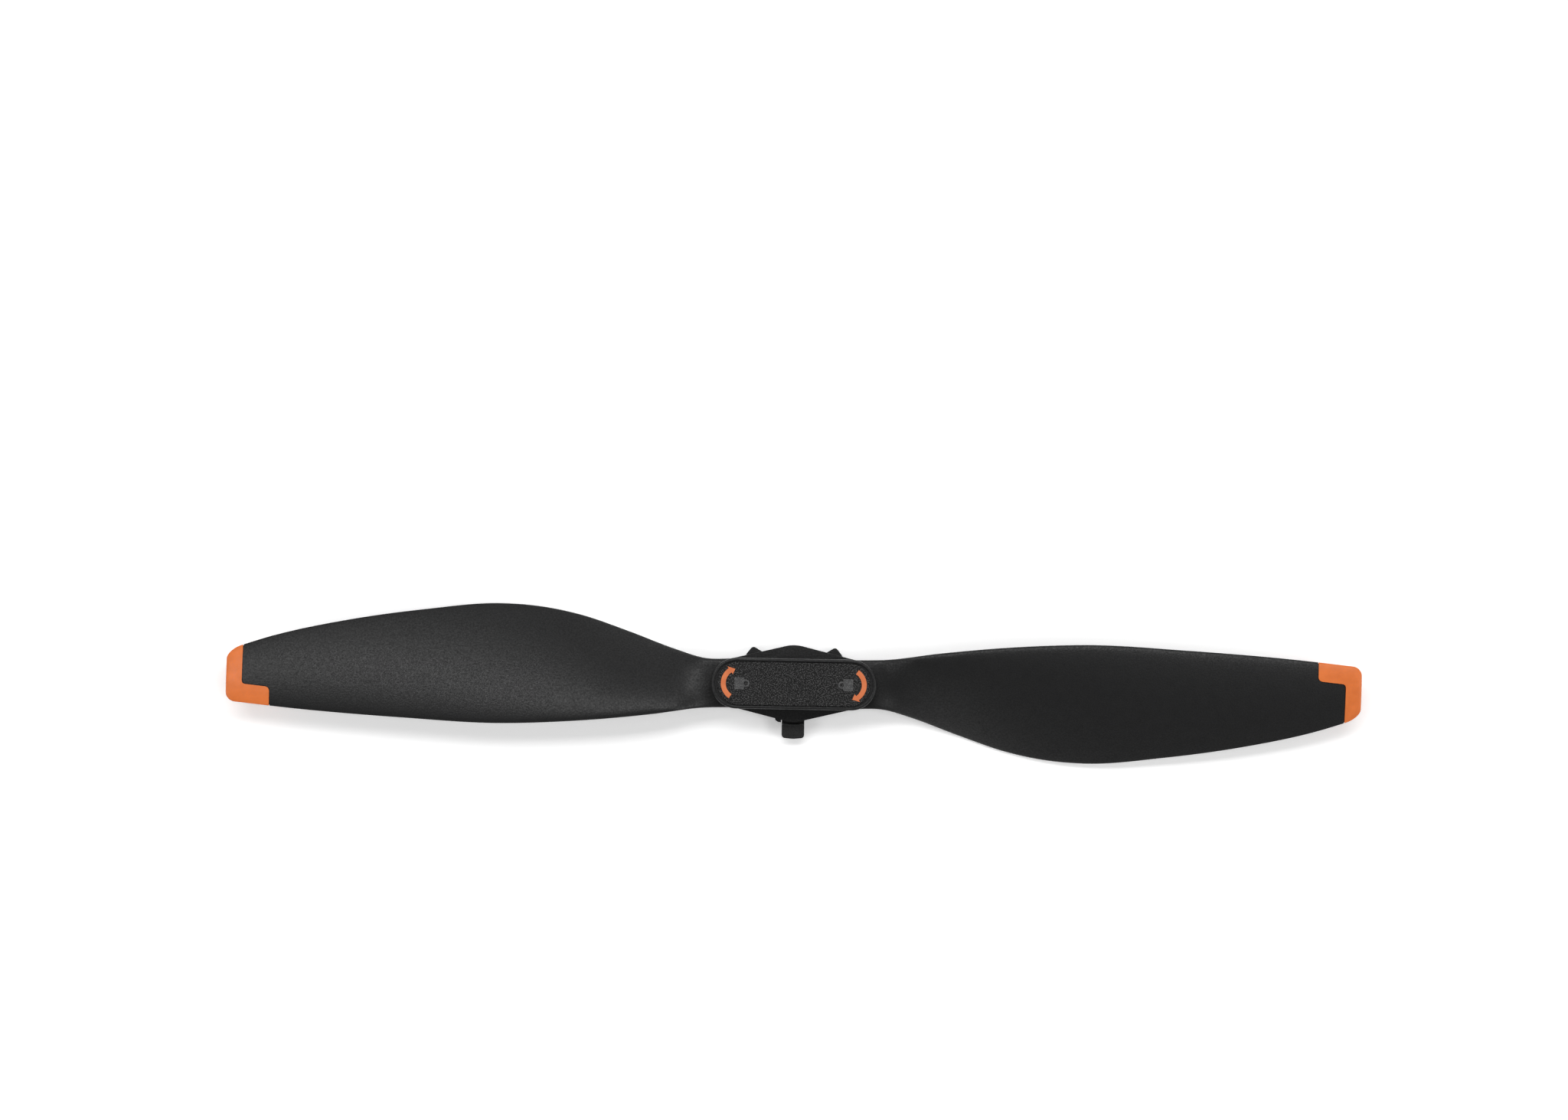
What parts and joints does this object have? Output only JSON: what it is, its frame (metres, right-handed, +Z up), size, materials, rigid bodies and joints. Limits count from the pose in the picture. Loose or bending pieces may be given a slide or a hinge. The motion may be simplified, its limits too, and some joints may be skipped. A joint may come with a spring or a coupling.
{
  "type": "folding drone propeller",
  "caption": "Folding two-blade propeller with a round-ended hub cover, pivoting twisted blades with coloured L-shaped tips, a clawed twist-lock ring and a sprung release tab.",
  "frame": {"origin": "on the spin axis, in the plane where the hub sits on the motor", "axes": "+Z up the spin axis away from the motor, +X along blade B, -Y towards the release tab"},
  "size_m": [0.1524, 0.0202, 0.0071],
  "materials": {
    "black_plastic": "black glass-filled nylon with a fine satin moulded skin",
    "grained_plastic": "black, coarse spark-eroded grain",
    "orange_plastic": "orange, satin",
    "mark_orange": "pad-printed orange ink",
    "mark_grey": "pad-printed dark grey ink",
    "steel": "turned stainless steel",
    "brass": "turned brass",
    "washer_plastic": "translucent white low-friction film"
  },
  "bodies": {
    "hub": {"hub_cover": "black_plastic", "grip_inlay": "grained_plastic", "hub_base": "black_plastic", "claw_ring": "black_plastic", "spindle_bush": "brass", "latch_spring": "steel", "ring_screw_a": "steel", "ring_screw_b": "steel", "pivot_sleeve_a": "steel", "pivot_sleeve_b": "steel", "washer_a_lower": "washer_plastic", "washer_a_upper": "washer_plastic", "washer_b_lower": "washer_plastic", "washer_b_upper": "washer_plastic", "pivot_screw_a": "steel", "pivot_screw_b": "steel"},
    "blade_a": {"blade_a": "black_plastic", "blade_a_tip": "orange_plastic"},
    "blade_b": {"blade_b": "black_plastic", "blade_b_tip": "orange_plastic"},
    "latch": {"release_latch": "black_plastic"}
  },
  "joints": [
    {"name": "blade_a_fold", "type": "hinge", "parent": "hub", "child": "blade_a", "pos_m": [-0.0076, 0, 0.00385], "axis": [0, 0, 1], "range_deg": [-90, 90]},
    {"name": "blade_b_fold", "type": "hinge", "parent": "hub", "child": "blade_b", "pos_m": [0.0076, 0, 0.00385], "axis": [0, 0, 1], "range_deg": [-90, 90]},
    {"name": "latch_press", "type": "slide", "parent": "hub", "child": "latch", "axis": [0, 1, 0], "range_m": [0, 0.0003], "deforming": ["latch_spring"]}
  ]
}
